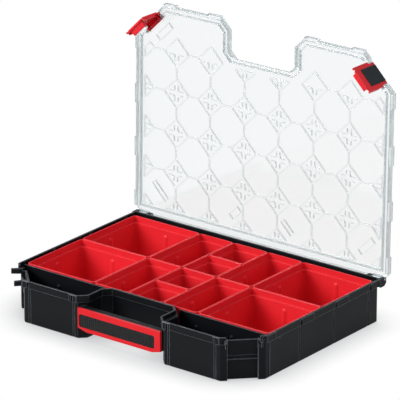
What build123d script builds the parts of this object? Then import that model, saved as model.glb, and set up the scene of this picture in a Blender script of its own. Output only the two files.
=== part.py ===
from build123d import *
import math
import os

os.makedirs("parts", exist_ok=True)

# Bin grid
UNIT = 53.7
COLUMNS = 7
ROWS = 4
BIN_REAR_Y = 128.0
GRID_HALF_X = COLUMNS * UNIT / 2

# Tray outline and walls
RIM_HALF_X = 193.0
RIM_HALF_Y = 137.0
CORNER_CUT = 40.0
RECESS_HALF_X = 55.5
RECESS_BACK_Y = -91.8
RECESS_FRONT_CUT = 10.5
RECESS_BACK_CUT = 8.5
FLOOR = 2.0
WALL = 2.0
BODY_INSET = 3.0
SHOULDER_Z = 48.0
LEDGE_Z = 50.0
RIM_Z = 57.0
REAR_ROUND = 4.5
CUT_ROUND = 6.0
MITRE = math.tan(math.radians(22.5))

# Posts between the bins
POST_R = 3.8
POST_DOME_Z = 37.0
POST_CLEAR = 0.6

# Bins
BIN_GAP = 0.3
BIN_TOP = 55.0
BIN_BAND = 9.5
BIN_BAND_ROUND = 4.5
BIN_STEP = 2.6
BIN_BODY_ROUND = 6.0
BIN_WALL = 1.3
BIN_FLOOR = 1.4
BIN_DRAFT = 1.0
BIN_INNER_FILLET = 3.2

# Lid
HINGE_Y = 142.3
HINGE_Z = 54.4
LID_OPEN = 91.0
LID_GROW = 4.2
LID_WALL = 2.0
LID_SKIRT_Z = 53.6
LID_PLATE_Z = 57.3
LID_PLATE = 2.0
LID_TOP_Z = 60.6
LID_REAR_Y = 145.4
LID_FLOOR_Y = -92.0
LID_TAB = 2.0
LID_FRONT_TAB = 2.5
LOCATOR_GAP = 0.6
LOCATOR_WALL = 1.6
LOCATOR_Z = 53.8
RIB = 1.6
RIB_DEEP = 1.4
MARK = 1.2
SLIM = 0.5

# Hinge
PIN_R = 1.4
RUNNING = 0.05
EAR_R = 2.6
KNUCKLE_R = 3.2
EAR_IN = (170.6, 175.6)
EAR_OUT = (191.0, 195.0)
KNUCKLE = (176.0, 190.3)

# Latches, measured outward from the rim on the cut corner
LATCH_PIN_OUT = -4.1
LATCH_PIN_Z = 57.1
BARREL_R = 3.0
BARREL_HALF = 13.65
BARREL_GAP = (6.2, 9.2)
POCKET_HALF = 14.0
POCKET_BACK = -8.6
MOUTH_HALF = 15.8
MOUTH_BACK = -0.8
LUG_OUTER = 19.0
HEAD_HALF = 15.5
LATCH_HALF = 18.1
LATCH_IN = 1.0
LATCH_OUT = 3.4
LATCH_TOP_Z = LATCH_PIN_Z + BARREL_R
LATCH_WEB = 2.4
LATCH_END_Z = 21.0
NECK = 9.2
NECK_RAMP = 1.6
CATCH_HALF = 11.75
CATCH_TIP = -6.6
CATCH_Z = (24.0, 26.0)
LATCH_SWEEP_R = 7.7
PAD_HALF = 12.0
PAD_LONG = 30.0
PAD_DEEP = 1.0
PAD_PROUD = 0.5

# Latch recess in the tray corner
RECESS_HALF = 18.6
RECESS_WALL = -8.6
RIDGE_TIP = -4.6
RIDGE_Z = (26.5, 30.5)
EAR_TIP = 9.2
EAR_Z = (46.4, 53.0)

# Handle
HANDLE_HALF = 64.0
HANDLE_Z = (13.0, 42.5)
HANDLE_FRONT = -138.0
HANDLE_BACK = -135.0
CROSSBAR_BACK = -127.0
CROSSBAR_WALL = 2.2
HANDLE_CUT = (13.0, 3.4)
WINDOW_X = (-62.0, 55.0)
WINDOW_Z = (18.0, 35.0)
WINDOW_ROUND = 3.0
GRIP_FACE = -137.2
GRIP_RIB = 0.7
GRIP_PITCH = 3.1
GRIP_PLAIN = 7.0

# Grooves and tabs round the outside
SIDE_GROOVES = (114.5, 43.0, -28.0, -99.0)
SIDE_TABS = ((114.5, 133.0), (43.0, 68.0), (-28.0, -3.0), (-96.0, -79.0))
LID_SIDE_TABS = ((113.7, 136.0), (41.7, 66.7), (-29.8, -4.3), (-97.5, -77.5))
FRONT_GROOVES = (73.5, 143.5)
FRONT_TABS = ((67.0, 78.0), (143.0, 152.0))
LID_FRONT_TABS = ((65.0, 85.0), (136.0, 154.0))
GROOVE = 2.9
GROOVE_DEEP = 1.1
TAB = 0.8


def outline(grow, rear=None, floor=None):
    """Tray outline grown outward, corner by corner, as plan points."""
    mitre = grow * MITRE
    rear_y = RIM_HALF_Y + grow if rear is None else rear
    floor_y = RECESS_BACK_Y - grow if floor is None else floor
    back_line = RECESS_HALF_X + RECESS_BACK_Y - RECESS_BACK_CUT - grow * math.sqrt(2)
    right = [
        (RIM_HALF_X + grow, rear_y),
        (RIM_HALF_X + grow, CORNER_CUT - RIM_HALF_Y - mitre),
        (RIM_HALF_X - CORNER_CUT + mitre, -RIM_HALF_Y - grow),
        (RECESS_HALF_X + RECESS_FRONT_CUT - mitre, -RIM_HALF_Y - grow),
        (RECESS_HALF_X - grow, RECESS_FRONT_CUT - RIM_HALF_Y - mitre),
        (RECESS_HALF_X - grow, back_line - RECESS_HALF_X + grow),
        (back_line - floor_y, floor_y),
    ]
    left = [(-x, y) for x, y in right]
    return left + right[::-1]


def tray_plan(grow):
    """Rounded plan face of the tray at one distance from the rim."""
    with BuildSketch() as plan:
        Polygon(*outline(grow), align=None)
        rear = plan.vertices().sort_by(Axis.Y)[-2:]
        fillet(rear, max(REAR_ROUND + grow, 0.6))
        sides = [
            v
            for v in plan.vertices()
            if abs(v.X) > RIM_HALF_X - CORNER_CUT - WALL - BODY_INSET and v.Y < 0
        ]
        fillet(sides, CUT_ROUND + grow)
    return plan.sketch


def corner_section(side):
    """Plane across a cut corner, x outward from the rim and y up."""
    return Plane(
        origin=(side * (RIM_HALF_X - CORNER_CUT / 2), CORNER_CUT / 2 - RIM_HALF_Y, 0),
        x_dir=(side, -1, 0),
        z_dir=(-1, -side, 0),
    )


def corner_face(side, out):
    """Plane parallel to a cut corner, x along the corner and y up."""
    shift = out / math.sqrt(2)
    return Plane(
        origin=(
            side * (RIM_HALF_X - CORNER_CUT / 2 + shift),
            CORNER_CUT / 2 - RIM_HALF_Y - shift,
            0,
        ),
        x_dir=(1, side, 0),
        z_dir=(side, -1, 0),
    )


def corner_spot(side):
    """Plan location of a cut corner, x outward and y along the corner."""
    turn = -45 if side > 0 else -135
    return Location(
        (side * (RIM_HALF_X - CORNER_CUT / 2), CORNER_CUT / 2 - RIM_HALF_Y, 0),
        (0, 0, turn),
    )


def corner_block(half, back, front, low, high):
    """Block set across both cut corners."""
    with BuildPart() as block:
        with BuildSketch(Plane.XY.offset(low)):
            for side in (1, -1):
                with Locations(corner_spot(side)):
                    with Locations(((back + front) / 2, 0)):
                        Rectangle(front - back, 2 * half)
        extrude(amount=high - low)
    return block.part


def slab(sketch, low, high):
    """Plan face raised between two heights."""
    raised = Plane.XY.offset(low) * sketch
    return extrude(raised, amount=high - low, dir=(0, 0, 1), mode=Mode.PRIVATE)


def grid_point(i, j):
    """Plan position of a grid corner, counted from the left and the front."""
    return (i * UNIT - GRID_HALF_X, BIN_REAR_Y - (ROWS - j) * UNIT)


lid_turn = (
    Location((0, HINGE_Y, HINGE_Z))
    * Location((0, 0, 0), (-LID_OPEN, 0, 0))
    * Location((0, -HINGE_Y, -HINGE_Z))
)

BINS = {
    "bin_large_1": (0, 2, 2, 4),
    "bin_medium_1": (2, 3, 2, 4),
    "bin_small_1": (3, 4, 3, 4),
    "bin_small_2": (3, 4, 2, 3),
    "bin_medium_2": (4, 5, 2, 4),
    "bin_large_2": (5, 7, 2, 4),
    "bin_large_3": (0, 2, 0, 2),
    "bin_medium_3": (2, 3, 0, 2),
    "bin_small_3": (3, 4, 1, 2),
    "bin_small_4": (3, 4, 0, 1),
    "bin_medium_4": (4, 5, 0, 2),
    "bin_large_4": (5, 7, 0, 2),
}
BIN_CENTRES = ((1, 1), (1, 3), (6, 1), (6, 3))

# Posts, cut back to the body wall where they meet it
post_spots = [
    grid_point(i, j)
    for i in range(COLUMNS + 1)
    for j in range(ROWS + 1)
    if (i, j) not in BIN_CENTRES
]
rear_spots = [grid_point(i, ROWS) for i in range(COLUMNS + 1)]
with BuildPart() as posts:
    with Locations(*[(x, y, FLOOR - 1) for x, y in post_spots]):
        Cylinder(
            POST_R,
            POST_DOME_Z - FLOOR + 1,
            align=(Align.CENTER, Align.CENTER, Align.MIN),
        )
    with Locations(*[(x, y, POST_DOME_Z) for x, y in post_spots]):
        Sphere(POST_R)
    with Locations(*[(x, y, FLOOR - 1) for x, y in rear_spots]):
        Box(
            RIB,
            2 * POST_R,
            POST_DOME_Z - FLOOR + 1,
            align=(Align.CENTER, Align.MIN, Align.MIN),
        )
    add(slab(tray_plan(-BODY_INSET - WALL / 2), 0, RIM_Z), mode=Mode.INTERSECT)

# Tray
with BuildPart() as base_tray:
    add(slab(tray_plan(-BODY_INSET), 0, LEDGE_Z))
    chamfer(base_tray.edges().group_by(Axis.Z)[0], 0.8)
    add(slab(tray_plan(0), SHOULDER_Z, RIM_Z))
    # side and front tabs on the rim band
    for side in (1, -1):
        for low, high in SIDE_TABS:
            with Locations((side * RIM_HALF_X, (low + high) / 2, SHOULDER_Z)):
                Box(
                    2 * TAB,
                    high - low,
                    RIM_Z - SHOULDER_Z - 0.6,
                    align=(Align.CENTER, Align.CENTER, Align.MIN),
                )
        for low, high in FRONT_TABS:
            with Locations((side * (low + high) / 2, -RIM_HALF_Y, SHOULDER_Z)):
                Box(
                    high - low,
                    2 * TAB,
                    RIM_Z - SHOULDER_Z - 0.6,
                    align=(Align.CENTER, Align.CENTER, Align.MIN),
                )
    # hollow
    add(
        slab(tray_plan(-BODY_INSET - WALL), FLOOR, RIM_Z)
        - corner_block(RECESS_HALF + WALL, RECESS_WALL - WALL, 20, 0, RIM_Z + 1),
        mode=Mode.SUBTRACT,
    )
    add(
        slab(tray_plan(-WALL), LEDGE_Z, RIM_Z + 1)
        - corner_block(RECESS_HALF + WALL, RECESS_WALL - WALL, 20, 0, RIM_Z + 2),
        mode=Mode.SUBTRACT,
    )
    # latch recesses
    add(corner_block(RECESS_HALF, RECESS_WALL, 20, -1, RIM_Z + 1), mode=Mode.SUBTRACT)
    add(
        corner_block(RECESS_HALF + WALL, RECESS_WALL - WALL - 1, 20, LEDGE_Z, RIM_Z + 1),
        mode=Mode.SUBTRACT,
    )
    # vertical grooves through the body and up into the band
    for side in (1, -1):
        for y in SIDE_GROOVES:
            with Locations((side * (RIM_HALF_X - BODY_INSET - GROOVE_DEEP), y, -1)):
                Box(
                    2 * BODY_INSET + GROOVE_DEEP,
                    GROOVE,
                    RIM_Z - 0.5,
                    align=(Align.MIN if side > 0 else Align.MAX, Align.CENTER, Align.MIN),
                    mode=Mode.SUBTRACT,
                )
        for x in FRONT_GROOVES:
            with Locations((side * x, BODY_INSET + GROOVE_DEEP - RIM_HALF_Y, -1)):
                Box(
                    GROOVE,
                    2 * BODY_INSET + GROOVE_DEEP,
                    RIM_Z - 0.5,
                    align=(Align.CENTER, Align.MAX, Align.MIN),
                    mode=Mode.SUBTRACT,
                )
    add(posts.part)
    # catch ridges and the guards beside each latch
    for side in (1, -1):
        with BuildSketch(corner_section(side)):
            Polygon(
                (RECESS_WALL - WALL / 2, RIDGE_Z[0]),
                (RIDGE_TIP, RIDGE_Z[0]),
                (RIDGE_TIP, RIDGE_Z[0] + 0.8),
                (RECESS_WALL, RIDGE_Z[1]),
                (RECESS_WALL - WALL / 2, RIDGE_Z[1]),
                align=None,
            )
        extrude(amount=RECESS_HALF + WALL / 2, both=True)
        with BuildSketch(Plane.XY.offset(EAR_Z[0])):
            with Locations(corner_spot(side)):
                for end in (1, -1):
                    Polygon(
                        (-BODY_INSET - WALL, end * RECESS_HALF),
                        (0, end * RECESS_HALF),
                        (EAR_TIP, end * (RECESS_HALF + 1.6)),
                        (EAR_TIP, end * (RECESS_HALF + 4.0)),
                        (0, end * (RECESS_HALF + 3.6)),
                        (-BODY_INSET - WALL, end * (RECESS_HALF + 3.6)),
                        align=None,
                    )
        extrude(amount=EAR_Z[1] - EAR_Z[0])
    # hinge ears
    for side in (1, -1):
        for low, high, front in (
            (EAR_IN[0], EAR_IN[1], RIM_HALF_Y - WALL + 0.5),
            (EAR_OUT[0], EAR_OUT[1], RIM_HALF_Y - 5),
        ):
            with BuildSketch(Plane.YZ.offset(side * (low + high) / 2)):
                with BuildLine():
                    Polyline(
                        (front, LEDGE_Z),
                        (front, HINGE_Z + EAR_R),
                        (HINGE_Y, HINGE_Z + EAR_R),
                    )
                    RadiusArc(
                        (HINGE_Y, HINGE_Z + EAR_R), (HINGE_Y + EAR_R, HINGE_Z), EAR_R
                    )
                    Polyline(
                        (HINGE_Y + EAR_R, HINGE_Z),
                        (HINGE_Y + EAR_R, SHOULDER_Z + 1.5),
                        (HINGE_Y - 1.0, SHOULDER_Z - 2.0),
                        (RIM_HALF_Y - BODY_INSET - 0.5, SHOULDER_Z - 2.0),
                        (RIM_HALF_Y - BODY_INSET - 0.5, LEDGE_Z),
                        (front, LEDGE_Z),
                    )
                make_face()
            extrude(amount=(high - low) / 2, both=True)
    with Locations(Location((0, HINGE_Y, HINGE_Z), (0, 90, 0))):
        Cylinder(PIN_R, 2 * EAR_OUT[1] + 2, mode=Mode.SUBTRACT)
    # round gate mark on the right wall
    with Locations(Location((RIM_HALF_X - BODY_INSET, -67, 45), (0, 90, 0))):
        Cylinder(1.6, 1.0)
    # crossbar that carries the handle, hollow from behind
    with BuildSketch(Plane.XZ.offset(-HANDLE_BACK)):
        Polygon(
            (-HANDLE_HALF, HANDLE_Z[1]),
            (-HANDLE_HALF, HANDLE_Z[0] + HANDLE_CUT[1]),
            (HANDLE_CUT[0] - HANDLE_HALF, HANDLE_Z[0]),
            (HANDLE_HALF - HANDLE_CUT[0], HANDLE_Z[0]),
            (HANDLE_HALF, HANDLE_Z[0] + HANDLE_CUT[1]),
            (HANDLE_HALF, HANDLE_Z[1]),
            align=None,
        )
    extrude(amount=HANDLE_BACK - CROSSBAR_BACK)
    with Locations((0, CROSSBAR_BACK, (HANDLE_Z[0] + HANDLE_Z[1]) / 2)):
        Box(
            2 * (RECESS_HALF_X + BODY_INSET) - 0.4,
            2 * (CROSSBAR_BACK - HANDLE_BACK - CROSSBAR_WALL),
            HANDLE_Z[1] - HANDLE_Z[0] - 2 * CROSSBAR_WALL,
            mode=Mode.SUBTRACT,
        )
base_tray.part.label = "base_tray"
export_step(base_tray.part, "parts/base_tray.step")

# Handle frame on the crossbar
with BuildPart() as handle_frame:
    with BuildSketch(Plane.XZ.offset(-HANDLE_BACK)):
        Polygon(
            (-HANDLE_HALF, HANDLE_Z[1]),
            (-HANDLE_HALF, HANDLE_Z[0] + HANDLE_CUT[1]),
            (HANDLE_CUT[0] - HANDLE_HALF, HANDLE_Z[0]),
            (HANDLE_HALF - HANDLE_CUT[0], HANDLE_Z[0]),
            (HANDLE_HALF, HANDLE_Z[0] + HANDLE_CUT[1]),
            (HANDLE_HALF, HANDLE_Z[1]),
            align=None,
        )
    extrude(amount=HANDLE_BACK - HANDLE_FRONT)
    fillet(handle_frame.edges().group_by(Axis.Y)[0], 0.6)
    with BuildSketch(Plane.XZ.offset(-HANDLE_BACK)):
        with Locations((sum(WINDOW_X) / 2, sum(WINDOW_Z) / 2)):
            RectangleRounded(
                WINDOW_X[1] - WINDOW_X[0], WINDOW_Z[1] - WINDOW_Z[0], WINDOW_ROUND
            )
    extrude(amount=HANDLE_BACK - HANDLE_FRONT, mode=Mode.SUBTRACT)
handle_frame.part.label = "handle_frame"
export_step(handle_frame.part, "parts/handle_frame.step")

# Ribbed grip pad in the window
PAD_CLEAR = 0.1
RIB_COUNT = int((WINDOW_X[1] - WINDOW_X[0] - 2 * GRIP_PLAIN) / GRIP_PITCH)
with BuildPart() as handle_grip_pad:
    with BuildSketch(Plane.XZ.offset(-HANDLE_BACK)):
        with Locations((sum(WINDOW_X) / 2, sum(WINDOW_Z) / 2)):
            RectangleRounded(
                WINDOW_X[1] - WINDOW_X[0] - 2 * PAD_CLEAR,
                WINDOW_Z[1] - WINDOW_Z[0] - 2 * PAD_CLEAR,
                WINDOW_ROUND - PAD_CLEAR,
            )
    extrude(amount=HANDLE_BACK - GRIP_FACE)
    with BuildSketch(Plane.XZ.offset(-GRIP_FACE - 0.2)):
        with Locations((sum(WINDOW_X) / 2, sum(WINDOW_Z) / 2)):
            with GridLocations(GRIP_PITCH, 1, RIB_COUNT, 1):
                RectangleRounded(1.5, WINDOW_Z[1] - WINDOW_Z[0] - 1.6, 0.7)
    extrude(amount=GRIP_RIB + 0.2)
handle_grip_pad.part.label = "handle_grip_pad"
export_step(handle_grip_pad.part, "parts/handle_grip_pad.step")



def bin_shape(cells_x, cells_y):
    """Open bin centred on its cells, with a flute at the middle of each long wall."""
    size_x = cells_x * UNIT - 2 * BIN_GAP
    size_y = cells_y * UNIT - 2 * BIN_GAP
    flutes = []
    if cells_x == 2:
        flutes += [(0, -cells_y * UNIT / 2), (0, cells_y * UNIT / 2)]
    if cells_y == 2:
        flutes += [(-cells_x * UNIT / 2, 0), (cells_x * UNIT / 2, 0)]
    step_z = BIN_TOP - BIN_BAND
    with BuildPart() as cavity:
        with BuildSketch(Plane.XY.offset(step_z + BIN_WALL)):
            RectangleRounded(
                size_x - 2 * (BIN_STEP + BIN_WALL),
                size_y - 2 * (BIN_STEP + BIN_WALL),
                BIN_BODY_ROUND - BIN_WALL,
            )
        extrude(amount=-(step_z + BIN_WALL - FLOOR - BIN_FLOOR), taper=BIN_DRAFT)
        fillet(cavity.edges().group_by(Axis.Z)[0], BIN_INNER_FILLET)
        with BuildSketch(Plane.XY.offset(step_z + BIN_WALL)):
            RectangleRounded(
                size_x - 2 * BIN_WALL,
                size_y - 2 * BIN_WALL,
                BIN_BAND_ROUND - BIN_WALL,
            )
        extrude(amount=BIN_BAND)
    with BuildPart() as bin_box:
        with BuildSketch(Plane.XY.offset(step_z)):
            RectangleRounded(
                size_x - 2 * BIN_STEP, size_y - 2 * BIN_STEP, BIN_BODY_ROUND
            )
        extrude(amount=-(step_z - FLOOR), taper=BIN_DRAFT)
        fillet(bin_box.edges().group_by(Axis.Z)[0], 1.2)
        with BuildSketch(Plane.XY.offset(step_z)):
            RectangleRounded(size_x, size_y, BIN_BAND_ROUND)
        extrude(amount=BIN_BAND)
        fillet(bin_box.edges().group_by(Axis.Z)[-1], 0.35)
        add(cavity.part, mode=Mode.SUBTRACT)
        if flutes:
            # wall that follows each flute, kept inside the bin
            with BuildPart(mode=Mode.PRIVATE) as nubs:
                with Locations(*[(x, y, FLOOR) for x, y in flutes]):
                    Cylinder(
                        POST_R + POST_CLEAR + BIN_FLOOR,
                        POST_DOME_Z - FLOOR,
                        align=(Align.CENTER, Align.CENTER, Align.MIN),
                    )
                with Locations(*[(x, y, POST_DOME_Z) for x, y in flutes]):
                    Sphere(POST_R + POST_CLEAR + BIN_FLOOR)
                Box(
                    size_x - 2 * (BIN_STEP + BIN_WALL / 2) - 1.6,
                    size_y - 2 * (BIN_STEP + BIN_WALL / 2) - 1.6,
                    2 * BIN_TOP,
                    mode=Mode.INTERSECT,
                )
            add(nubs.part)
            with Locations(*[(x, y, FLOOR - 1) for x, y in flutes]):
                Cylinder(
                    POST_R + POST_CLEAR,
                    POST_DOME_Z - FLOOR + 1,
                    align=(Align.CENTER, Align.CENTER, Align.MIN),
                    mode=Mode.SUBTRACT,
                )
            with Locations(*[(x, y, POST_DOME_Z) for x, y in flutes]):
                Sphere(POST_R + POST_CLEAR, mode=Mode.SUBTRACT)
    return bin_box.part


# Bins, one shape for each size set down on its cells
bin_shapes = {cells: bin_shape(*cells) for cells in ((2, 2), (1, 2), (1, 1))}
for label, (i0, i1, j0, j1) in BINS.items():
    x0, y0 = grid_point(i0, j0)
    x1, y1 = grid_point(i1, j1)
    placed = Pos((x0 + x1) / 2, (y0 + y1) / 2, 0) * bin_shapes[(i1 - i0, j1 - j0)]
    placed.label = label
    export_step(placed, f"parts/{label}.step")

# Raised pattern under the lid plate
PATTERN_REAR_Y = 132.2
DIAMOND_TIP = 19.2
DIAMOND_ROUND = 3.5
DIAMOND_SIDE = (DIAMOND_TIP + DIAMOND_ROUND * (math.sqrt(2) - 1)) * math.sqrt(2)
HALF_BASE = 17.5
HALF_BACK = 2.0
MARK_NEAR = 2.8
MARK_FAR = 10.3


def pattern_point(i, k):
    return (i * UNIT - GRID_HALF_X, PATTERN_REAR_Y - k * UNIT)


def ring(points, round_by):
    """Rib that follows a closed outline."""
    with BuildSketch() as outer:
        Polygon(*points, align=None)
        fillet(outer.vertices(), round_by)
    inner = offset(outer.sketch, amount=-RIB, kind=Kind.INTERSECTION)
    return outer.sketch - inner


def corner_mark(turn):
    """One small rounded corner mark inside a diamond."""
    low = MARK_NEAR - MARK / 2
    corner = (Align.MIN, Align.MIN)
    with BuildSketch() as mark:
        with Locations((low, low)):
            RectangleRounded(UNIT, UNIT, MARK_NEAR + MARK / 2, align=corner)
        with Locations((low + MARK, low + MARK)):
            RectangleRounded(
                UNIT, UNIT, MARK_NEAR - MARK / 2, align=corner, mode=Mode.SUBTRACT
            )
        with Locations((low, low)):
            Rectangle(
                MARK_FAR - low, MARK_FAR - low, align=corner, mode=Mode.INTERSECT
            )
    return Rot(0, 0, turn) * mark.sketch


def half_ring(turn, back=HALF_BACK):
    """Half diamond with two short marks, pointing along y before it is turned."""
    tip = DIAMOND_TIP - back - 1.2
    shape = ring([(-HALF_BASE, 0), (HALF_BASE, 0), (0, tip)], 1.5)
    with BuildSketch() as marks:
        with Locations((-MARK_NEAR, 6.4), (MARK_NEAR, 6.4)):
            Rectangle(MARK, 6)
    return Rot(0, 0, turn) * Pos(0, back) * (shape + marks.sketch)


diamond = ring(
    [
        (0, DIAMOND_SIDE / math.sqrt(2)),
        (-DIAMOND_SIDE / math.sqrt(2), 0),
        (0, -DIAMOND_SIDE / math.sqrt(2)),
        (DIAMOND_SIDE / math.sqrt(2), 0),
    ],
    DIAMOND_ROUND,
)
front_marks = [corner_mark(180), corner_mark(270)]
rear_marks = [corner_mark(0), corner_mark(90)]
pieces = []
for i in range(1, COLUMNS):
    for k in range(1, ROWS):
        spot = Pos(*pattern_point(i, k))
        pieces += [spot * shape for shape in [diamond] + front_marks + rear_marks]
    pieces.append(Pos(*pattern_point(i, 0)) * half_ring(180))
    spot = Pos(*pattern_point(i, ROWS))
    if i in (3, 4):
        pieces.append(spot * half_ring(0))
    else:
        pieces += [spot * shape for shape in [diamond] + rear_marks]
for side, i in ((-1, 0), (1, COLUMNS)):
    for k in range(1, ROWS):
        pieces.append(Pos(*pattern_point(i, k)) * half_ring(side * 90))
    x, y = pattern_point(i, 0)
    pieces.append(
        Pos(x - side * HALF_BACK, y - HALF_BACK)
        * ring([(0, 0), (-side * 16.5, 0), (0, -16.5)], 1.5)
    )
    x, y = pattern_point(i, ROWS)
    pieces.append(
        Pos(x - side * HALF_BACK, y)
        * ring([(0, 17.5), (0, 1.0), (-side * 8.6, -7.6), (-side * 16.2, 0)], 1.5)
    )
with BuildSketch() as pattern:
    add(pieces)
    reach = DIAMOND_TIP - RIB / 2
    for i in range(1, COLUMNS):
        for k in range(ROWS):
            x, y = pattern_point(i, k)
            near = 18.0 - RIB if k == 0 else reach
            far = UNIT - reach
            with Locations((x, y - (near + far) / 2)):
                Rectangle(RIB, far - near)
    for i in range(COLUMNS):
        for k in range(1, ROWS + 1):
            if k < ROWS or i in (0, 1, 5, 6):
                x, y = pattern_point(i, k)
                near = 17.0 if i == 0 else reach
                far = UNIT - (17.0 if i == COLUMNS - 1 else reach)
                with Locations((x + (near + far) / 2, y)):
                    Rectangle(far - near, RIB)
    for x, y, long, wide, turn in (
        (-154.0, -106.8, 29.0, 10.0, -45),
        (-159.0, 106.7, 31.0, 7.5, 45),
        (-38.5, 109.7, 19.0, 10.0, -45),
        (43.0, 110.2, 22.5, 7.5, 45),
        (164.5, 106.7, 28.5, 10.0, -45),
    ):
        with Locations(Location((x, y, 0), (0, 0, turn))):
            Rectangle(long, wide)
            Rectangle(long - 2 * MARK, wide - 2 * MARK, mode=Mode.SUBTRACT)

# Lid, modelled shut and then swung open about the hinge
lid_plan = Polygon(*outline(LID_GROW, LID_REAR_Y, LID_FLOOR_Y), align=None)
lid_inner = Polygon(
    *outline(LID_GROW - LID_WALL, LID_REAR_Y - LID_WALL, LID_FLOOR_Y + LID_WALL),
    align=None,
)
rear_cut = [
    Polygon(
        (side * 189.5, LID_REAR_Y + 1),
        (side * (RIM_HALF_X + LID_GROW + 3), LID_REAR_Y + 1),
        (side * (RIM_HALF_X + LID_GROW + 3), HINGE_Y - 8.5),
        align=None,
    )
    for side in (1, -1)
]
with BuildPart() as lid:
    add(slab(lid_plan, LID_SKIRT_Z, LID_TOP_Z))
    # thicker bands on the sides and the front
    for side in (1, -1):
        for low, high in LID_SIDE_TABS:
            with Locations((side * (RIM_HALF_X + LID_GROW), (low + high) / 2, LID_SKIRT_Z)):
                Box(
                    2 * LID_TAB,
                    high - low,
                    LID_TOP_Z - LID_SKIRT_Z,
                    align=(Align.CENTER, Align.CENTER, Align.MIN),
                )
        for low, high in LID_FRONT_TABS:
            with Locations((side * (low + high) / 2, -RIM_HALF_Y - LID_GROW, LID_SKIRT_Z)):
                Box(
                    high - low,
                    2 * LID_FRONT_TAB,
                    LID_TOP_Z - LID_SKIRT_Z,
                    align=(Align.CENTER, Align.CENTER, Align.MIN),
                )
    for cut in rear_cut:
        add(slab(cut, LID_SKIRT_Z - 1, LID_TOP_Z + 1), mode=Mode.SUBTRACT)
    # hollow under the plate and the shallow well above it
    add(slab(lid_inner, LID_SKIRT_Z - 1, LID_PLATE_Z), mode=Mode.SUBTRACT)
    well = slab(lid_inner, LID_PLATE_Z + LID_PLATE, LID_TOP_Z + 1)
    for side in (1, -1):
        corner = Box(8, 40, 8, mode=Mode.PRIVATE)
        spot = Pos(side * (RIM_HALF_X + LID_GROW), HINGE_Y + 1.2, LID_TOP_Z)
        well -= spot * Rot(0, 0, side * 39) * corner
    add(well, mode=Mode.SUBTRACT)
    # no skirt at the hinge side or along the back of the handle notch
    with Locations((0, HINGE_Y - 8, LID_SKIRT_Z - 1)):
        Box(
            500,
            40,
            LID_PLATE_Z - LID_SKIRT_Z + 1,
            align=(Align.CENTER, Align.MIN, Align.MIN),
            mode=Mode.SUBTRACT,
        )
    with Locations((0, LID_FLOOR_Y - 3, LID_SKIRT_Z - 1)):
        Box(
            2 * RECESS_HALF_X + 20,
            WALL + 6,
            LID_PLATE_Z - LID_SKIRT_Z + 1,
            align=(Align.CENTER, Align.MIN, Align.MIN),
            mode=Mode.SUBTRACT,
        )
    # locating rib just inside the rim
    rib_out = -WALL - LOCATOR_GAP
    rib_in = rib_out - LOCATOR_WALL
    with BuildSketch(Plane.XY.offset(LOCATOR_Z)):
        Polygon(*outline(rib_out, HINGE_Y - 9), align=None)
        Polygon(*outline(rib_in, HINGE_Y - 9 - LOCATOR_WALL), align=None, mode=Mode.SUBTRACT)
        for side in (1, -1):
            with Locations(corner_spot(side)):
                with Locations((-8, 0)):
                    Rectangle(16, 46, mode=Mode.SUBTRACT)
    extrude(amount=LID_PLATE_Z - LOCATOR_Z + 0.2)
    # pattern
    with BuildSketch(Plane.XY.offset(LID_PLATE_Z - RIB_DEEP)):
        add(pattern.sketch)
    extrude(amount=RIB_DEEP + 0.2)
    # hinge knuckles
    for side in (1, -1):
        x = side * (KNUCKLE[0] + KNUCKLE[1]) / 2
        with BuildSketch(Plane.YZ.offset(x)):
            with Locations((HINGE_Y, HINGE_Z)):
                Circle(KNUCKLE_R)
                Rectangle(
                    2 * KNUCKLE_R - 0.4,
                    LID_PLATE_Z - HINGE_Z + 0.2,
                    align=(Align.CENTER, Align.MIN),
                )
        extrude(amount=(KNUCKLE[1] - KNUCKLE[0]) / 2, both=True)
    with Locations(Location((0, HINGE_Y, HINGE_Z), (0, 90, 0))):
        Cylinder(PIN_R + RUNNING, 2 * EAR_OUT[1] + 8, mode=Mode.SUBTRACT)
    # latch pockets, lugs and the swing of each latch
    add(
        corner_block(POCKET_HALF, POCKET_BACK, 12, LID_SKIRT_Z - 2, LID_TOP_Z + 2),
        mode=Mode.SUBTRACT,
    )
    add(
        corner_block(MOUTH_HALF, MOUTH_BACK, 12, LID_SKIRT_Z - 2, LID_TOP_Z + 2),
        mode=Mode.SUBTRACT,
    )
    for side in (1, -1):
        with BuildSketch(corner_section(side)):
            with Locations((LATCH_PIN_OUT, LATCH_PIN_Z)):
                with Locations((4.5, 0)):
                    Rectangle(40, 40, align=(Align.MIN, Align.CENTER))
                Circle(LATCH_SWEEP_R, mode=Mode.SUBTRACT)
        extrude(amount=LATCH_HALF + SLIM, both=True, mode=Mode.SUBTRACT)
        with BuildSketch(corner_section(side)):
            with Locations((LATCH_PIN_OUT, LATCH_PIN_Z)):
                Circle(BARREL_R)
        extrude(amount=LUG_OUTER, both=True)
        with BuildSketch(corner_section(side)):
            with Locations((LATCH_PIN_OUT, LATCH_PIN_Z)):
                Circle(BARREL_R + 0.1)
        extrude(amount=POCKET_HALF, both=True, mode=Mode.SUBTRACT)
        with BuildSketch(corner_section(side)):
            with Locations((LATCH_PIN_OUT, LATCH_PIN_Z)):
                Circle(PIN_R)
        extrude(amount=LUG_OUTER - 1, both=True, mode=Mode.SUBTRACT)
lid_open = lid_turn * lid.part
lid_open.label = "lid"
export_step(lid_open, "parts/lid.step")

# Hinge pins
for name, side in (("hinge_pin_right", 1), ("hinge_pin_left", -1)):
    with BuildPart() as hinge_pin:
        with Locations(Location((side * (EAR_IN[0] + EAR_OUT[1]) / 2, HINGE_Y, HINGE_Z), (0, 90, 0))):
            Cylinder(PIN_R, EAR_OUT[1] - EAR_IN[0] - 0.4)
        chamfer(hinge_pin.edges(), 0.25)
    hinge_pin.part.label = name
    export_step(hinge_pin.part, f"parts/{name}.step")

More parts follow.
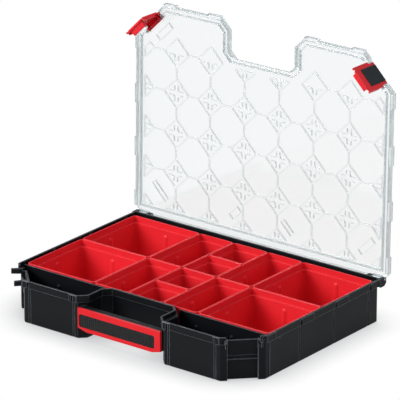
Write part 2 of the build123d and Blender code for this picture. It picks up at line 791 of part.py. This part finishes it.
# Latches, modelled shut on the corner and carried open with the lid
for hand, side in (("right", 1), ("left", -1)):
    with BuildPart() as latch:
        # barrel in three knuckles with the web to the plate
        with BuildSketch(corner_section(side)):
            with Locations((LATCH_PIN_OUT, LATCH_PIN_Z)):
                Circle(BARREL_R)
                Rectangle(
                    -LATCH_PIN_OUT,
                    LATCH_WEB,
                    align=(Align.MIN, Align.MIN),
                )
            with Locations((LATCH_PIN_OUT, LATCH_TOP_Z)):
                Rectangle(
                    LATCH_OUT - LATCH_PIN_OUT,
                    LATCH_WEB,
                    align=(Align.MIN, Align.MAX),
                )
        extrude(amount=BARREL_HALF, both=True)
        # outer plate: narrow head, ramp and full width below
        with BuildSketch(corner_face(side, LATCH_IN)):
            Polygon(
                (-HEAD_HALF, LATCH_TOP_Z),
                (-HEAD_HALF, LATCH_TOP_Z - NECK),
                (-LATCH_HALF, LATCH_TOP_Z - NECK - NECK_RAMP),
                (-LATCH_HALF, LATCH_END_Z),
                (LATCH_HALF, LATCH_END_Z),
                (LATCH_HALF, LATCH_TOP_Z - NECK - NECK_RAMP),
                (HEAD_HALF, LATCH_TOP_Z - NECK),
                (HEAD_HALF, LATCH_TOP_Z),
                align=None,
            )
            with Locations((-15.2, LATCH_END_Z), (15.2, LATCH_END_Z)):
                Circle(2.0, mode=Mode.SUBTRACT)
        extrude(amount=LATCH_OUT - LATCH_IN)
        top = latch.edges().filter_by(GeomType.LINE).sort_by(Axis.Z)
        # catch web with a rounded root
        with BuildSketch(corner_section(side)):
            Polygon(
                (CATCH_TIP, CATCH_Z[0] + 0.6),
                (CATCH_TIP + 0.6, CATCH_Z[0]),
                (LATCH_IN + 0.5, CATCH_Z[0] - 0.8),
                (LATCH_IN + 0.5, CATCH_Z[1] + 0.8),
                (LATCH_IN, CATCH_Z[1] + 0.8),
                (LATCH_IN - 1.5, CATCH_Z[1]),
                (CATCH_TIP, CATCH_Z[1]),
                align=None,
            )
        extrude(amount=CATCH_HALF, both=True)
        # side flanges along the wide part
        for end in (1, -1):
            with BuildSketch(corner_section(side).offset(end * (LATCH_HALF - 0.8))):
                with Locations((LATCH_IN + 0.5, CATCH_Z[0])):
                    Rectangle(3.0, 20.0, align=(Align.MAX, Align.MIN))
            extrude(amount=0.8, both=True)
        # gaps between the knuckles, bore and the bed of the pad
        for end in (1, -1):
            with BuildSketch(corner_section(side).offset(end * sum(BARREL_GAP) / 2)):
                with Locations((LATCH_PIN_OUT - 4, LATCH_TOP_Z - LATCH_WEB)):
                    Rectangle(7.5, 8, align=(Align.MIN, Align.MAX))
            extrude(
                amount=(BARREL_GAP[1] - BARREL_GAP[0]) / 2, both=True, mode=Mode.SUBTRACT
            )
        with BuildSketch(corner_section(side)):
            with Locations((LATCH_PIN_OUT, LATCH_PIN_Z)):
                Circle(PIN_R + RUNNING)
        extrude(amount=2 * BARREL_HALF, both=True, mode=Mode.SUBTRACT)
        with BuildSketch(corner_face(side, LATCH_OUT - PAD_DEEP)):
            with Locations((0, LATCH_TOP_Z - PAD_LONG / 2)):
                Rectangle(2 * PAD_HALF, PAD_LONG)
        extrude(amount=PAD_DEEP, mode=Mode.SUBTRACT)
    latch_open = lid_turn * latch.part
    latch_open.label = f"latch_{hand}"
    export_step(latch_open, f"parts/latch_{hand}.step")

    with BuildPart() as latch_pad:
        with BuildSketch(corner_face(side, LATCH_OUT - PAD_DEEP)):
            with Locations((0, LATCH_TOP_Z - PAD_LONG / 2)):
                Rectangle(2 * PAD_HALF - 0.2, PAD_LONG - 0.1)
        extrude(amount=PAD_DEEP + PAD_PROUD)
        low_edges = latch_pad.edges().filter_by(
            lambda edge: abs(edge.bounding_box().size.Z) < 0.01
            and edge.center().Z < LATCH_TOP_Z - PAD_LONG / 2
            and edge.length < PAD_DEEP + PAD_PROUD + 0.1
        )
        fillet(low_edges, 3.0)
    pad_open = lid_turn * latch_pad.part
    pad_open.label = f"latch_pad_{hand}"
    export_step(pad_open, f"parts/latch_pad_{hand}.step")

    with BuildPart() as latch_pin:
        with BuildSketch(corner_section(side)):
            with Locations((LATCH_PIN_OUT, LATCH_PIN_Z)):
                Circle(PIN_R)
        extrude(amount=LUG_OUTER - 1.1, both=True)
    pin_open = lid_turn * latch_pin.part
    pin_open.label = f"latch_pin_{hand}"
    export_step(pin_open, f"parts/latch_pin_{hand}.step")
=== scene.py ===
import bmesh
import bpy
import math
from mathutils import Matrix, Vector


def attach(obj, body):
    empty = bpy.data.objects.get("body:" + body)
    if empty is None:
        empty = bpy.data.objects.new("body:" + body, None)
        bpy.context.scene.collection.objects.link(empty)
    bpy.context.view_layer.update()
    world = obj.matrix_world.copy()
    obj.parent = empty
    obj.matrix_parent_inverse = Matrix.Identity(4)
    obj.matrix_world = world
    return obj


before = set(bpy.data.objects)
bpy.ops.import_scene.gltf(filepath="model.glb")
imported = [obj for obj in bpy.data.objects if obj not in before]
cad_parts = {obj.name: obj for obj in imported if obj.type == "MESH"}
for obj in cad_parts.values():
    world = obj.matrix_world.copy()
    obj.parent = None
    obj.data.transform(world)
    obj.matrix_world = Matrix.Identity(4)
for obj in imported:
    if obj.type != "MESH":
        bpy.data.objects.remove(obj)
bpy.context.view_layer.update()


# Camera
# A long lens from the front right and a little above, as a catalogue picture is taken.
EYE = Vector((2.7574, -3.5364, 1.8298))
SIGHT = Vector((-0.5738, 0.7406, -0.3497))
SENSOR_WIDE = 36
FOCAL_LENGTH = 352.6
lens = bpy.data.cameras.new("camera")
lens.sensor_width = SENSOR_WIDE
lens.lens = FOCAL_LENGTH
camera = bpy.data.objects.new("camera", lens)
camera.location = EYE
camera.rotation_mode = "QUATERNION"
camera.rotation_quaternion = SIGHT.to_track_quat("-Z", "Y")
bpy.context.scene.collection.objects.link(camera)
bpy.context.scene.camera = camera
bpy.context.scene.view_settings.view_transform = "Standard"


# Studio
# A white sweep lit by a strong soft box at the front left, with weaker boxes above and at the sides.
# Where seen, the floor carries a painted soft shadow that darkens where the object stands close over
# it, and it turns plain white further out.
def linear(code):
    """Linear colour of an sRGB hex code."""
    parts = [int(code[i : i + 2], 16) / 255 for i in (1, 3, 5)]
    return [c / 12.92 if c <= 0.04045 else ((c + 0.055) / 1.055) ** 2.4 for c in parts] + [1.0]


def add_node(tree, kind, inputs=None, **settings):
    """Add one node with its settings, and set or link its inputs."""
    made = tree.nodes.new("ShaderNode" + kind)
    for name, value in settings.items():
        setattr(made, name, value)
    for name, value in (inputs or {}).items():
        if isinstance(value, bpy.types.NodeSocket):
            tree.links.new(value, made.inputs[name])
        else:
            made.inputs[name].default_value = value
    return made


def new_material(name):
    """Empty node material and its tree."""
    material = bpy.data.materials.new(name)
    material.use_nodes = True
    material.node_tree.nodes.clear()
    return material, material.node_tree


def sight_rays(tree):
    """1 for rays that the eye, a gloss or a clear part looks along."""
    rays = add_node(tree, "LightPath")
    looked = add_node(
        tree,
        "Math",
        {0: rays.outputs["Is Camera Ray"], 1: rays.outputs["Is Transmission Ray"]},
        operation="MAXIMUM",
    )
    return add_node(
        tree,
        "Math",
        {0: looked.outputs[0], 1: rays.outputs["Is Glossy Ray"]},
        operation="MAXIMUM",
    )


ROOM_LIGHT = 0.4
world = bpy.data.worlds.new("studio")
bpy.context.scene.world = world
world.use_nodes = True
tree = world.node_tree
tree.nodes.clear()
seen = sight_rays(tree)
room = add_node(tree, "Background", {"Color": linear("#ffffff"), "Strength": ROOM_LIGHT})
backdrop = add_node(tree, "Background", {"Color": linear("#ffffff"), "Strength": 1.0})
shown = add_node(
    tree, "MixShader", {0: seen.outputs[0], 1: room.outputs[0], 2: backdrop.outputs[0]}
)
add_node(tree, "OutputWorld", {"Surface": shown.outputs[0]})

FLOOR_HALF = 9.0
SHADOW_REACH = 0.045
SHADOW_NEAR = 0.42
SHADOW_FAR = 0.95
MOTTLE_SCALE = 3.0
sweep, tree = new_material("white_sweep")
place = add_node(tree, "TexCoord")
spread = add_node(tree, "VectorMath", {0: place.outputs["Object"]}, operation="LENGTH")
fade = add_node(
    tree,
    "MapRange",
    {"Value": spread.outputs["Value"], "From Min": SHADOW_NEAR, "From Max": SHADOW_FAR},
    interpolation_type="SMOOTHSTEP",
)
speck = add_node(
    tree,
    "TexNoise",
    {"Vector": place.outputs["Object"], "Scale": MOTTLE_SCALE, "Detail": 2.0},
)
tone = add_node(
    tree,
    "Mix",
    {0: speck.outputs["Fac"], 6: linear("#e6e7e8"), 7: linear("#e9eaeb")},
    data_type="RGBA",
)
lit = add_node(tree, "BsdfDiffuse", {"Color": tone.outputs[2]})
# Painted contact shadow: the seen floor glows greyer the more closed-in each point is, whatever the
# lamps do.
nook = add_node(tree, "AmbientOcclusion", {"Distance": SHADOW_REACH}, samples=16)
painted_contact_shadow = add_node(
    tree,
    "Mix",
    {0: nook.outputs["AO"], 6: linear("#9a9ca0"), 7: linear("#ffffff")},
    data_type="RGBA",
)
painted_shadow_emission = add_node(tree, "Emission", {"Color": painted_contact_shadow.outputs[2], "Strength": 1.0})
plain = add_node(tree, "Emission", {"Color": linear("#ffffff"), "Strength": 1.0})
faded = add_node(
    tree, "MixShader", {0: fade.outputs[0], 1: painted_shadow_emission.outputs[0], 2: plain.outputs[0]}
)
seen = sight_rays(tree)
surface = add_node(
    tree, "MixShader", {0: seen.outputs[0], 1: lit.outputs[0], 2: faded.outputs[0]}
)
add_node(tree, "OutputMaterial", {"Surface": surface.outputs[0]})

mesh = bpy.data.meshes.new("floor")
bm = bmesh.new()
bmesh.ops.create_grid(bm, x_segments=1, y_segments=1, size=FLOOR_HALF)
bm.to_mesh(mesh)
bm.free()
mesh.materials.append(sweep)
floor = bpy.data.objects.new("floor", mesh)
bpy.context.scene.collection.objects.link(floor)

for name, spot, aim, size, power in (
    ("top_box", (-0.45, 0.2, 2.0), (0, 0, 0), 1.0, 11.0),
    ("left_box", (-1.9, -0.8, 1.2), (0, 0, 0.1), 1.0, 8.0),
    ("right_box", (2.3, 0.4, 1.2), (0, 0, 0.1), 1.0, 8.0),
    ("front_box", (-1.2, -2.3, 1.3), (-0.1, 0, 0.05), 1.2, 66.0),
):
    lamp = bpy.data.lights.new(name, "AREA")
    lamp.shape = "SQUARE"
    lamp.size = size
    lamp.energy = power
    box_light = bpy.data.objects.new(name, lamp)
    box_light.location = spot
    box_light.rotation_mode = "QUATERNION"
    box_light.rotation_quaternion = (Vector(aim) - Vector(spot)).to_track_quat("-Z", "Y")
    bpy.context.scene.collection.objects.link(box_light)


# Tray
# Injection-moulded black polypropylene with a fine spark-eroded grain on its walls.
# The grain makes it matte, and a painted highlight lightens the rim and corners.
CLOUD_SCALE = 28.0
PATCH_RANGE = (0.35, 0.65)
GLOSS_RANGE = (0.3, 0.7)
GRAIN_ROUGHNESS = 0.6
EDGE_STARTS = 0.98
EDGE_FULL = 0.82
FADED_SHARE = 0.94
ROUGH_LESS = 0.04
ROUGH_MORE = 0.05
PLASTIC_IOR = 1.49


def moulded(name, colour, edge_highlight, rough, edge, grain, deep, shine=0.2, even=0.3):
    """Moulded plastic with a painted highlight lightening its rounded edges, and its grain size in
    metres.
    """
    material, tree = new_material(name)
    place = add_node(tree, "TexCoord")
    cloud = add_node(
        tree,
        "TexNoise",
        {"Vector": place.outputs["Object"], "Scale": CLOUD_SCALE, "Detail": 3.0},
    )
    fine = add_node(
        tree,
        "TexNoise",
        {
            "Vector": place.outputs["Object"],
            "Scale": 1 / grain,
            "Detail": 2.0,
            "Roughness": GRAIN_ROUGHNESS,
        },
    )
    rounded = add_node(tree, "Bevel", {"Radius": edge}, samples=6)
    flat = add_node(tree, "NewGeometry")
    close = add_node(
        tree,
        "VectorMath",
        {0: rounded.outputs[0], 1: flat.outputs["True Normal"]},
        operation="DOT_PRODUCT",
    )
    # Painted highlight: rounded edges, in patches, are mixed toward the lighter edge colour.
    edge_highlight_mask = add_node(
        tree,
        "MapRange",
        {"Value": close.outputs["Value"], "From Min": EDGE_STARTS, "From Max": EDGE_FULL},
    )
    patchy = add_node(
        tree,
        "MapRange",
        {
            "Value": cloud.outputs["Fac"],
            "From Min": PATCH_RANGE[0],
            "From Max": PATCH_RANGE[1],
            "To Min": even,
        },
    )
    highlight_share = add_node(
        tree, "Math", {0: edge_highlight_mask.outputs[0], 1: patchy.outputs[0]}, operation="MULTIPLY"
    )
    shade = add_node(
        tree,
        "Mix",
        {
            0: patchy.outputs[0],
            6: [c * FADED_SHARE for c in linear(colour)[:3]] + [1.0],
            7: linear(colour),
        },
        data_type="RGBA",
    )
    # The painted edge highlight is mixed into the base colour here.
    tint = add_node(
        tree,
        "Mix",
        {0: highlight_share.outputs[0], 6: shade.outputs[2], 7: linear(edge_highlight)},
        data_type="RGBA",
    )
    gloss = add_node(
        tree,
        "MapRange",
        {
            "Value": cloud.outputs["Fac"],
            "From Min": GLOSS_RANGE[0],
            "From Max": GLOSS_RANGE[1],
            "To Min": rough - ROUGH_LESS,
            "To Max": rough + ROUGH_MORE,
        },
    )
    relief = add_node(
        tree,
        "Bump",
        {
            "Height": fine.outputs["Fac"],
            "Normal": rounded.outputs[0],
            "Distance": deep,
            "Strength": 1.0,
        },
    )
    body = add_node(
        tree,
        "BsdfPrincipled",
        {
            "Base Color": tint.outputs[2],
            "Roughness": gloss.outputs[0],
            "Normal": relief.outputs[0],
            "Specular IOR Level": shine,
            "IOR": PLASTIC_IOR,
        },
    )
    add_node(tree, "OutputMaterial", {"Surface": body.outputs[0]})
    return material


def dress(names, material):
    """Give CAD nodes their finished material."""
    for name in names:
        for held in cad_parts[name].material_slots:
            held.material = material


black_polypropylene = moulded(
    "black_polypropylene",
    colour="#0f1114",
    # Lighter grey for the painted highlight on the rounded edges.
    edge_highlight="#868c92",
    rough=0.42,
    edge=0.0011,
    grain=0.0011,
    deep=0.00005,
    shine=0.1,
    even=0.6,
)
dress(["base_tray"], black_polypropylene)


# Partitions
# Two thin upright walls of the tray's own plastic, moulded between the bins and the front wells.
# They stand on the tray's floor and hide the fronts of the nearest bins.
PARTITION_THICK = 0.0018
PARTITION_BACK = -0.0868
PARTITION_LOW = 0.002
PARTITION_TOP = 0.0535
PARTITION_SPANS = {"left": (-0.1905, -0.062), "right": (0.055, 0.1905)}
for hand, (near, far) in PARTITION_SPANS.items():
    mesh = bpy.data.meshes.new(f"partition_{hand}")
    bm = bmesh.new()
    bmesh.ops.create_cube(bm, size=1.0)
    bmesh.ops.scale(
        bm, vec=(far - near, PARTITION_THICK, PARTITION_TOP - PARTITION_LOW), verts=bm.verts
    )
    bmesh.ops.translate(
        bm,
        vec=(
            (near + far) / 2,
            PARTITION_BACK - PARTITION_THICK / 2,
            (PARTITION_LOW + PARTITION_TOP) / 2,
        ),
        verts=bm.verts,
    )
    bm.to_mesh(mesh)
    bm.free()
    mesh.materials.append(black_polypropylene)
    partition = bpy.data.objects.new(f"partition_{hand}", mesh)
    bpy.context.scene.collection.objects.link(partition)
    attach(partition, "tray")


# Handle frame
# Red polypropylene frame clipped on the crossbar.
# It is satin from the mould, with a painted highlight that lightens its edges.
red_polypropylene = moulded(
    "red_polypropylene",
    colour="#cc121c",
    # Lighter red for the painted highlight on the rounded edges.
    edge_highlight="#dc3640",
    rough=0.34,
    edge=0.0006,
    grain=0.0014,
    deep=0.00003,
)
dress(["handle_frame"], red_polypropylene)


# Grip pad
# Soft black thermoplastic rubber with upright ribs, pressed into the handle frame.
# It is duller than the tray.
black_elastomer = moulded(
    "black_elastomer",
    colour="#141415",
    # Lighter grey for the painted highlight on the rib edges.
    edge_highlight="#5c5c5e",
    rough=0.62,
    edge=0.0005,
    grain=0.0009,
    deep=0.00006,
    even=0.9,
)
dress(["handle_grip_pad"], black_elastomer)


# Bins
# Thin-walled boxes of red polypropylene, in three sizes on one grid, that stand loose in the tray.
# They are satin inside and out, straight from the mould.
bin_names = [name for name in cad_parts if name.startswith("bin_")]
red_bin_polypropylene = moulded(
    "red_bin_polypropylene",
    colour="#de2831",
    # Lighter red for the painted highlight on the rounded edges.
    edge_highlight="#ea4650",
    rough=0.36,
    edge=0.0006,
    grain=0.0014,
    deep=0.00002,
)
dress(bin_names, red_bin_polypropylene)


# Lid
# Clear polycarbonate moulded in one piece, two millimetres thick with a raised pattern.
# Its cut and ribbed edges are painted grey as shade, standing for the light that leaves through
# them, and the plate stays clear.
PLATE_NORMAL = (0.0, 0.99985, -0.01745)
LID_EDGE = 0.0013
RIM_STARTS = 0.995
RIM_FULL = 0.5
RIPPLE_DEEP = 0.0002
RIPPLE_STRENGTH = 0.4
HAZE = (0.02, 0.08)
RIM_ROUGH = 0.4
STRAIGHT_SHARE = (0.3, 0.6)
LID_RIPPLE = 45.0
LID_IOR = 1.4
LID_GLOSS = 0.3
clear_polycarbonate, tree = new_material("clear_polycarbonate")
rounded = add_node(tree, "Bevel", {"Radius": LID_EDGE}, samples=8)
turned = add_node(
    tree,
    "VectorTransform",
    {"Vector": rounded.outputs[0]},
    vector_type="NORMAL",
    convert_from="WORLD",
    convert_to="OBJECT",
)
facing = add_node(
    tree, "VectorMath", {0: turned.outputs[0], 1: PLATE_NORMAL}, operation="DOT_PRODUCT"
)
upright = add_node(tree, "Math", {0: facing.outputs["Value"]}, operation="ABSOLUTE")
rim = add_node(
    tree,
    "MapRange",
    {"Value": upright.outputs[0], "From Min": RIM_STARTS, "From Max": RIM_FULL},
)
# Painted shade: faces turned away from the plate are coloured grey.
painted_edge_shade_colour = add_node(
    tree,
    "Mix",
    {0: rim.outputs[0], 6: linear("#f3f6f6"), 7: linear("#e2e8ea")},
    data_type="RGBA",
)
place = add_node(tree, "TexCoord")
ripple = add_node(tree, "TexNoise", {"Vector": place.outputs["Object"], "Scale": LID_RIPPLE})
swell = add_node(
    tree,
    "Bump",
    {
        "Height": ripple.outputs["Fac"],
        "Normal": rounded.outputs[0],
        "Distance": RIPPLE_DEEP,
        "Strength": RIPPLE_STRENGTH,
    },
)
haze = add_node(
    tree,
    "MapRange",
    {"Value": ripple.outputs["Fac"], "To Min": HAZE[0], "To Max": HAZE[1]},
)
frost = add_node(
    tree,
    "MapRange",
    {"Value": rim.outputs[0], "To Min": haze.outputs[0], "To Max": RIM_ROUGH},
)
pane = add_node(
    tree,
    "BsdfPrincipled",
    {
        "Base Color": painted_edge_shade_colour.outputs[2],
        "Roughness": frost.outputs[0],
        "Normal": swell.outputs[0],
        "IOR": LID_IOR,
        "Specular IOR Level": LID_GLOSS,
        "Transmission Weight": 1.0,
    },
)
# Painted shade: the see-through part is tinted grey on the same edge faces.
painted_edge_shade_tint = add_node(
    tree,
    "Mix",
    {0: rim.outputs[0], 6: linear("#fbfcfc"), 7: linear("#d3dadc")},
    data_type="RGBA",
)
through = add_node(tree, "BsdfTransparent", {"Color": painted_edge_shade_tint.outputs[2]})
passing = add_node(
    tree,
    "MapRange",
    {
        "Value": rim.outputs[0],
        "To Min": STRAIGHT_SHARE[0],
        "To Max": STRAIGHT_SHARE[1],
    },
)
rays = add_node(tree, "LightPath")
share = add_node(
    tree,
    "Math",
    {0: rays.outputs["Is Shadow Ray"], 1: passing.outputs[0]},
    operation="MAXIMUM",
)
lid_surface = add_node(
    tree, "MixShader", {0: share.outputs[0], 1: pane.outputs[0], 2: through.outputs[0]}
)
add_node(tree, "OutputMaterial", {"Surface": lid_surface.outputs[0]})
dress(["lid"], clear_polycarbonate)


# Pins
# Drawn steel wire cut to length, with faint marks from the die.
# The marks only vary its roughness and colour a little.
DIE_MARKS = 900.0
WIRE_ROUGH = (0.22, 0.42)
drawn_steel, tree = new_material("drawn_steel")
place = add_node(tree, "TexCoord")
marks = add_node(
    tree,
    "TexNoise",
    {"Vector": place.outputs["Object"], "Scale": DIE_MARKS, "Detail": 3.0},
)
dull = add_node(
    tree,
    "MapRange",
    {"Value": marks.outputs["Fac"], "To Min": WIRE_ROUGH[0], "To Max": WIRE_ROUGH[1]},
)
tarnish = add_node(
    tree,
    "Mix",
    {0: marks.outputs["Fac"], 6: linear("#b4b6b9"), 7: linear("#cdced0")},
    data_type="RGBA",
)
wire = add_node(
    tree,
    "BsdfPrincipled",
    {"Base Color": tarnish.outputs[2], "Metallic": 1.0, "Roughness": dull.outputs[0]},
)
add_node(tree, "OutputMaterial", {"Surface": wire.outputs[0]})
dress(
    ["hinge_pin_left", "hinge_pin_right", "latch_pin_left", "latch_pin_right"], drawn_steel
)


# Latches
# Red acetal, a little brighter than the bins and stiff enough to snap over the tray's ridges.
# Each turns on a pin in the lid's cut corner.
red_acetal = moulded(
    "red_acetal",
    colour="#d61c28",
    # Lighter red for the painted highlight on the rounded edges.
    edge_highlight="#e44852",
    rough=0.34,
    edge=0.0005,
    grain=0.0014,
    deep=0.00002,
)
dress(["latch_left", "latch_right"], red_acetal)


# Latch pads
# Dark rubber let into the latch face, with rows of small round studs for the thumb.
dark_elastomer = moulded(
    "dark_elastomer",
    colour="#1a2124",
    # Lighter grey for the painted highlight on the pad and stud edges.
    edge_highlight="#3c474b",
    rough=0.6,
    edge=0.0004,
    grain=0.0009,
    deep=0.00004,
    even=0.9,
)
dress(["latch_pad_left", "latch_pad_right"], dark_elastomer)

HINGE = Vector((0, 0.1423, 0.0544))
LID_OPEN = math.radians(91)
CORNER_X = 0.173
CORNER_Y = -0.117
PAD_FACE = 0.0039
PAD_TOP_Z = 0.0601
STUD_PITCH = 0.0021
STUD_COLUMNS = 11
STUD_ROWS = 13
STUD_WIDE = 0.0007
STUD_NARROW = 0.0004
STUD_HIGH = 0.0006
STUD_RAISE = 0.0001
STUD_SIDES = 8
FIRST_ROW = 0.9
open_turn = (
    Matrix.Translation(HINGE) @ Matrix.Rotation(-LID_OPEN, 4, "X") @ Matrix.Translation(-HINGE)
)
for hand, side in (("left", -1), ("right", 1)):
    reach = PAD_FACE / math.sqrt(2)
    along = Vector((1, side, 0)).normalized()
    outward = Vector((side, -1, 0)).normalized()
    face = Matrix((along, Vector((0, 0, 1)), outward)).transposed().to_4x4()
    face.translation = (side * (CORNER_X + reach), CORNER_Y - reach, PAD_TOP_Z)
    mesh = bpy.data.meshes.new(f"latch_studs_{hand}")
    bm = bmesh.new()
    for column in range(STUD_COLUMNS):
        for row in range(STUD_ROWS):
            across = (column - (STUD_COLUMNS - 1) / 2) * STUD_PITCH
            down = -STUD_PITCH * (row + FIRST_ROW)
            bmesh.ops.create_cone(
                bm,
                cap_ends=True,
                segments=STUD_SIDES,
                radius1=STUD_WIDE,
                radius2=STUD_NARROW,
                depth=STUD_HIGH,
                matrix=open_turn @ face @ Matrix.Translation((across, down, STUD_RAISE)),
            )
    bm.to_mesh(mesh)
    bm.free()
    mesh.materials.append(dark_elastomer)
    studs = bpy.data.objects.new(f"latch_studs_{hand}", mesh)
    bpy.context.scene.collection.objects.link(studs)
    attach(studs, f"latch_{hand}")
